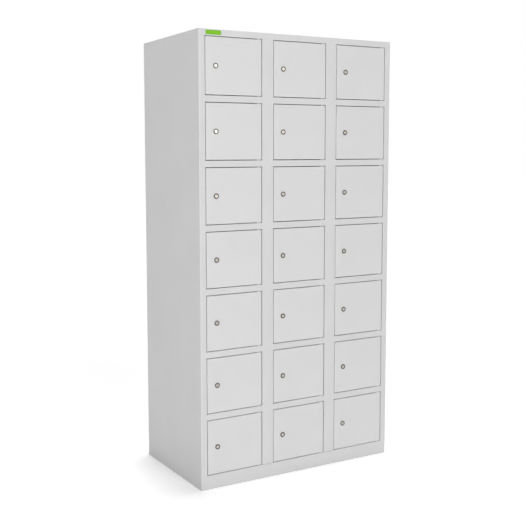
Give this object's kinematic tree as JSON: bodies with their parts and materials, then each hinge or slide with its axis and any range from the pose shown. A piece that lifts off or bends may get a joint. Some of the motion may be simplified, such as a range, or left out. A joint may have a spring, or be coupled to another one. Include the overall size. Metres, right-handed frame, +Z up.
{
  "type": "valuables locker",
  "caption": "Sheet-steel valuables locker: a tall cabinet of small compartments, each with a flush hinged door and a cam lock.",
  "frame": {"origin": "on the ground, under the middle of the cabinet's bounding box", "axes": "+Z up the cabinet's height; the doors face -Y, so +Y points to the back; +X is to the right as seen from the front"},
  "size_m": [0.93, 0.4984, 1.8],
  "materials": {
    "cabinet_paint": "light grey powder coat, satin",
    "door_paint": "light grey powder coat, satin",
    "lock_nickel": "bright nickel-plated zinc",
    "hinge_nylon": "natural white nylon",
    "label_green": "smooth green plate, blank"
  },
  "bodies": {
    "cabinet": {"side_panel_left": "cabinet_paint", "side_panel_right": "cabinet_paint", "top_panel": "cabinet_paint", "floor_panel": "cabinet_paint", "back_panel": "cabinet_paint", "base_rail": "cabinet_paint", "label_plate": "label_green", "mullion_1": "cabinet_paint", "partition_1": "cabinet_paint", "mullion_2": "cabinet_paint", "partition_2": "cabinet_paint", "shelf_1": "cabinet_paint", "shelf_2": "cabinet_paint", "shelf_3": "cabinet_paint", "shelf_4": "cabinet_paint", "shelf_5": "cabinet_paint", "shelf_6": "cabinet_paint"},
    "door_r1c1": {"door_r1c1": "door_paint"},
    "lock_r1c1": {"lock_plug_r1c1": "lock_nickel"},
    "door_r1c2": {"door_r1c2": "door_paint"},
    "lock_r1c2": {"lock_plug_r1c2": "lock_nickel"},
    "door_r1c3": {"door_r1c3": "door_paint"},
    "lock_r1c3": {"lock_plug_r1c3": "lock_nickel"},
    "door_r2c1": {"door_r2c1": "door_paint"},
    "lock_r2c1": {"lock_plug_r2c1": "lock_nickel"},
    "door_r2c2": {"door_r2c2": "door_paint"},
    "lock_r2c2": {"lock_plug_r2c2": "lock_nickel"},
    "door_r2c3": {"door_r2c3": "door_paint"},
    "lock_r2c3": {"lock_plug_r2c3": "lock_nickel"},
    "door_r3c1": {"door_r3c1": "door_paint"},
    "lock_r3c1": {"lock_plug_r3c1": "lock_nickel"},
    "door_r3c2": {"door_r3c2": "door_paint"},
    "lock_r3c2": {"lock_plug_r3c2": "lock_nickel"},
    "door_r3c3": {"door_r3c3": "door_paint"},
    "lock_r3c3": {"lock_plug_r3c3": "lock_nickel"},
    "door_r4c1": {"door_r4c1": "door_paint"},
    "lock_r4c1": {"lock_plug_r4c1": "lock_nickel"},
    "door_r4c2": {"door_r4c2": "door_paint"},
    "lock_r4c2": {"lock_plug_r4c2": "lock_nickel"},
    "door_r4c3": {"door_r4c3": "door_paint"},
    "lock_r4c3": {"lock_plug_r4c3": "lock_nickel"},
    "door_r5c1": {"door_r5c1": "door_paint"},
    "lock_r5c1": {"lock_plug_r5c1": "lock_nickel"},
    "door_r5c2": {"door_r5c2": "door_paint"},
    "lock_r5c2": {"lock_plug_r5c2": "lock_nickel"},
    "door_r5c3": {"door_r5c3": "door_paint"},
    "lock_r5c3": {"lock_plug_r5c3": "lock_nickel"},
    "door_r6c1": {"door_r6c1": "door_paint"},
    "lock_r6c1": {"lock_plug_r6c1": "lock_nickel"},
    "door_r6c2": {"door_r6c2": "door_paint"},
    "lock_r6c2": {"lock_plug_r6c2": "lock_nickel"},
    "door_r6c3": {"door_r6c3": "door_paint"},
    "lock_r6c3": {"lock_plug_r6c3": "lock_nickel"},
    "door_r7c1": {"door_r7c1": "door_paint"},
    "lock_r7c1": {"lock_plug_r7c1": "lock_nickel"},
    "door_r7c2": {"door_r7c2": "door_paint"},
    "lock_r7c2": {"lock_plug_r7c2": "lock_nickel"},
    "door_r7c3": {"door_r7c3": "door_paint"},
    "lock_r7c3": {"lock_plug_r7c3": "lock_nickel"}
  },
  "joints": [
    {"name": "hinge_r1c1", "type": "hinge", "parent": "cabinet", "child": "door_r1c1", "pos_m": [-0.196, -0.2385, 1.66325], "axis": [0, 0, 1], "range_deg": [0, 110]},
    {"name": "cam_r1c1", "type": "hinge", "parent": "door_r1c1", "child": "lock_r1c1", "pos_m": [-0.392, -0.2458, 1.66325], "axis": [0, 1, 0], "range_deg": [0, 90]},
    {"name": "hinge_r1c2", "type": "hinge", "parent": "cabinet", "child": "door_r1c2", "pos_m": [0.1135, -0.2385, 1.66325], "axis": [0, 0, 1], "range_deg": [0, 110]},
    {"name": "cam_r1c2", "type": "hinge", "parent": "door_r1c2", "child": "lock_r1c2", "pos_m": [-0.0825, -0.2458, 1.66325], "axis": [0, 1, 0], "range_deg": [0, 90]},
    {"name": "hinge_r1c3", "type": "hinge", "parent": "cabinet", "child": "door_r1c3", "pos_m": [0.423, -0.2385, 1.66325], "axis": [0, 0, 1], "range_deg": [0, 110]},
    {"name": "cam_r1c3", "type": "hinge", "parent": "door_r1c3", "child": "lock_r1c3", "pos_m": [0.227, -0.2458, 1.66325], "axis": [0, 1, 0], "range_deg": [0, 90]},
    {"name": "hinge_r2c1", "type": "hinge", "parent": "cabinet", "child": "door_r2c1", "pos_m": [-0.196, -0.2385, 1.41425], "axis": [0, 0, 1], "range_deg": [0, 110]},
    {"name": "cam_r2c1", "type": "hinge", "parent": "door_r2c1", "child": "lock_r2c1", "pos_m": [-0.392, -0.2458, 1.41425], "axis": [0, 1, 0], "range_deg": [0, 90]},
    {"name": "hinge_r2c2", "type": "hinge", "parent": "cabinet", "child": "door_r2c2", "pos_m": [0.1135, -0.2385, 1.41425], "axis": [0, 0, 1], "range_deg": [0, 110]},
    {"name": "cam_r2c2", "type": "hinge", "parent": "door_r2c2", "child": "lock_r2c2", "pos_m": [-0.0825, -0.2458, 1.41425], "axis": [0, 1, 0], "range_deg": [0, 90]},
    {"name": "hinge_r2c3", "type": "hinge", "parent": "cabinet", "child": "door_r2c3", "pos_m": [0.423, -0.2385, 1.41425], "axis": [0, 0, 1], "range_deg": [0, 110]},
    {"name": "cam_r2c3", "type": "hinge", "parent": "door_r2c3", "child": "lock_r2c3", "pos_m": [0.227, -0.2458, 1.41425], "axis": [0, 1, 0], "range_deg": [0, 90]},
    {"name": "hinge_r3c1", "type": "hinge", "parent": "cabinet", "child": "door_r3c1", "pos_m": [-0.196, -0.2385, 1.16525], "axis": [0, 0, 1], "range_deg": [0, 110]},
    {"name": "cam_r3c1", "type": "hinge", "parent": "door_r3c1", "child": "lock_r3c1", "pos_m": [-0.392, -0.2458, 1.16525], "axis": [0, 1, 0], "range_deg": [0, 90]},
    {"name": "hinge_r3c2", "type": "hinge", "parent": "cabinet", "child": "door_r3c2", "pos_m": [0.1135, -0.2385, 1.16525], "axis": [0, 0, 1], "range_deg": [0, 110]},
    {"name": "cam_r3c2", "type": "hinge", "parent": "door_r3c2", "child": "lock_r3c2", "pos_m": [-0.0825, -0.2458, 1.16525], "axis": [0, 1, 0], "range_deg": [0, 90]},
    {"name": "hinge_r3c3", "type": "hinge", "parent": "cabinet", "child": "door_r3c3", "pos_m": [0.423, -0.2385, 1.16525], "axis": [0, 0, 1], "range_deg": [0, 110]},
    {"name": "cam_r3c3", "type": "hinge", "parent": "door_r3c3", "child": "lock_r3c3", "pos_m": [0.227, -0.2458, 1.16525], "axis": [0, 1, 0], "range_deg": [0, 90]},
    {"name": "hinge_r4c1", "type": "hinge", "parent": "cabinet", "child": "door_r4c1", "pos_m": [-0.196, -0.2385, 0.91625], "axis": [0, 0, 1], "range_deg": [0, 110]},
    {"name": "cam_r4c1", "type": "hinge", "parent": "door_r4c1", "child": "lock_r4c1", "pos_m": [-0.392, -0.2458, 0.91625], "axis": [0, 1, 0], "range_deg": [0, 90]},
    {"name": "hinge_r4c2", "type": "hinge", "parent": "cabinet", "child": "door_r4c2", "pos_m": [0.1135, -0.2385, 0.91625], "axis": [0, 0, 1], "range_deg": [0, 110]},
    {"name": "cam_r4c2", "type": "hinge", "parent": "door_r4c2", "child": "lock_r4c2", "pos_m": [-0.0825, -0.2458, 0.91625], "axis": [0, 1, 0], "range_deg": [0, 90]},
    {"name": "hinge_r4c3", "type": "hinge", "parent": "cabinet", "child": "door_r4c3", "pos_m": [0.423, -0.2385, 0.91625], "axis": [0, 0, 1], "range_deg": [0, 110]},
    {"name": "cam_r4c3", "type": "hinge", "parent": "door_r4c3", "child": "lock_r4c3", "pos_m": [0.227, -0.2458, 0.91625], "axis": [0, 1, 0], "range_deg": [0, 90]},
    {"name": "hinge_r5c1", "type": "hinge", "parent": "cabinet", "child": "door_r5c1", "pos_m": [-0.196, -0.2385, 0.66725], "axis": [0, 0, 1], "range_deg": [0, 110]},
    {"name": "cam_r5c1", "type": "hinge", "parent": "door_r5c1", "child": "lock_r5c1", "pos_m": [-0.392, -0.2458, 0.66725], "axis": [0, 1, 0], "range_deg": [0, 90]},
    {"name": "hinge_r5c2", "type": "hinge", "parent": "cabinet", "child": "door_r5c2", "pos_m": [0.1135, -0.2385, 0.66725], "axis": [0, 0, 1], "range_deg": [0, 110]},
    {"name": "cam_r5c2", "type": "hinge", "parent": "door_r5c2", "child": "lock_r5c2", "pos_m": [-0.0825, -0.2458, 0.66725], "axis": [0, 1, 0], "range_deg": [0, 90]},
    {"name": "hinge_r5c3", "type": "hinge", "parent": "cabinet", "child": "door_r5c3", "pos_m": [0.423, -0.2385, 0.66725], "axis": [0, 0, 1], "range_deg": [0, 110]},
    {"name": "cam_r5c3", "type": "hinge", "parent": "door_r5c3", "child": "lock_r5c3", "pos_m": [0.227, -0.2458, 0.66725], "axis": [0, 1, 0], "range_deg": [0, 90]},
    {"name": "hinge_r6c1", "type": "hinge", "parent": "cabinet", "child": "door_r6c1", "pos_m": [-0.196, -0.2385, 0.41825], "axis": [0, 0, 1], "range_deg": [0, 110]},
    {"name": "cam_r6c1", "type": "hinge", "parent": "door_r6c1", "child": "lock_r6c1", "pos_m": [-0.392, -0.2458, 0.41825], "axis": [0, 1, 0], "range_deg": [0, 90]},
    {"name": "hinge_r6c2", "type": "hinge", "parent": "cabinet", "child": "door_r6c2", "pos_m": [0.1135, -0.2385, 0.41825], "axis": [0, 0, 1], "range_deg": [0, 110]},
    {"name": "cam_r6c2", "type": "hinge", "parent": "door_r6c2", "child": "lock_r6c2", "pos_m": [-0.0825, -0.2458, 0.41825], "axis": [0, 1, 0], "range_deg": [0, 90]},
    {"name": "hinge_r6c3", "type": "hinge", "parent": "cabinet", "child": "door_r6c3", "pos_m": [0.423, -0.2385, 0.41825], "axis": [0, 0, 1], "range_deg": [0, 110]},
    {"name": "cam_r6c3", "type": "hinge", "parent": "door_r6c3", "child": "lock_r6c3", "pos_m": [0.227, -0.2458, 0.41825], "axis": [0, 1, 0], "range_deg": [0, 90]},
    {"name": "hinge_r7c1", "type": "hinge", "parent": "cabinet", "child": "door_r7c1", "pos_m": [-0.196, -0.2385, 0.16925], "axis": [0, 0, 1], "range_deg": [0, 110]},
    {"name": "cam_r7c1", "type": "hinge", "parent": "door_r7c1", "child": "lock_r7c1", "pos_m": [-0.392, -0.2458, 0.16925], "axis": [0, 1, 0], "range_deg": [0, 90]},
    {"name": "hinge_r7c2", "type": "hinge", "parent": "cabinet", "child": "door_r7c2", "pos_m": [0.1135, -0.2385, 0.16925], "axis": [0, 0, 1], "range_deg": [0, 110]},
    {"name": "cam_r7c2", "type": "hinge", "parent": "door_r7c2", "child": "lock_r7c2", "pos_m": [-0.0825, -0.2458, 0.16925], "axis": [0, 1, 0], "range_deg": [0, 90]},
    {"name": "hinge_r7c3", "type": "hinge", "parent": "cabinet", "child": "door_r7c3", "pos_m": [0.423, -0.2385, 0.16925], "axis": [0, 0, 1], "range_deg": [0, 110]},
    {"name": "cam_r7c3", "type": "hinge", "parent": "door_r7c3", "child": "lock_r7c3", "pos_m": [0.227, -0.2458, 0.16925], "axis": [0, 1, 0], "range_deg": [0, 90]}
  ]
}
